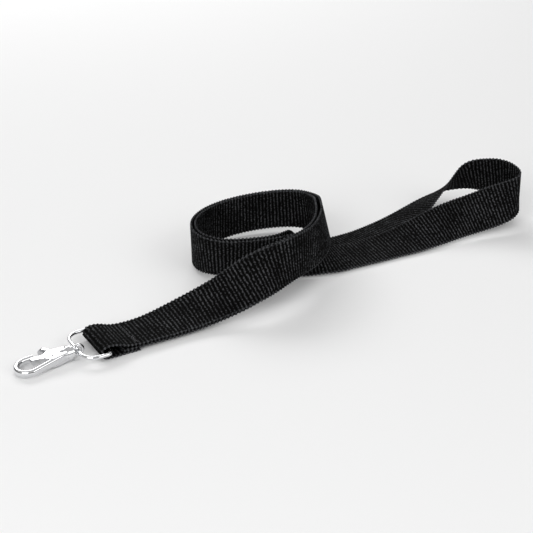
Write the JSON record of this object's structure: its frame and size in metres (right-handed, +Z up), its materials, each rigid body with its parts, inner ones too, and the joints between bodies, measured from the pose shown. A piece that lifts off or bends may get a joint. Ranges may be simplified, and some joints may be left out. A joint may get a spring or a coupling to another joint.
{
  "type": "lanyard",
  "caption": "Neck lanyard of ribbed webbing, laid down with one coil, with a flat metal ring sewn into its end and a swivel trigger snap hook.",
  "frame": {"origin": "on the table, under the middle of the bounding box of the lanyard as it lies", "axes": "+X from the hook towards the far end of the neck loop, along the hook's own axis; +Z up from the table; +Y to the left of +X"},
  "size_m": [0.2652, 0.0778, 0.0294],
  "materials": {
    "webbing": "charcoal black ribbed nylon webbing, matte",
    "thread": "grey sewing thread",
    "ring_metal": "bright nickel-plated wire",
    "hook_metal": "bright nickel-plated casting, polished",
    "spring_steel": "plain spring wire"
  },
  "bodies": {
    "strap": {"webbing_strap": "webbing", "seam_stitches": "thread"},
    "ring": {"flat_ring": "ring_metal"},
    "eye": {"swivel_eye": "hook_metal"},
    "hook": {"hook_body": "hook_metal", "pivot_rivet": "hook_metal", "gate_spring": "spring_steel"},
    "gate": {"gate_lever": "hook_metal"}
  },
  "joints": [
    {"name": "ring_hinge", "type": "hinge", "parent": "strap", "child": "ring", "pos_m": [-0.09672, -0.02689, 0.00335], "axis": [0, 1, 0], "range_deg": [-80, 80]},
    {"name": "eye_hinge", "type": "hinge", "parent": "ring", "child": "eye", "pos_m": [-0.10712, -0.02869, 0.00335], "axis": [0, 1, 0], "range_deg": [-60, 60]},
    {"name": "hook_swivel", "type": "hinge", "parent": "eye", "child": "hook", "pos_m": [-0.10712, -0.02869, 0.00335], "axis": [0.9973, 0, 0.0735], "continuous": true},
    {"name": "gate_hinge", "type": "hinge", "parent": "hook", "child": "gate", "pos_m": [-0.11719, -0.02869, 0.00261], "axis": [-0.0735, 0, 0.9973], "range_deg": [0, 22], "stiffness_Nm_per_rad": 0.02, "springref_deg": -28.65}
  ]
}
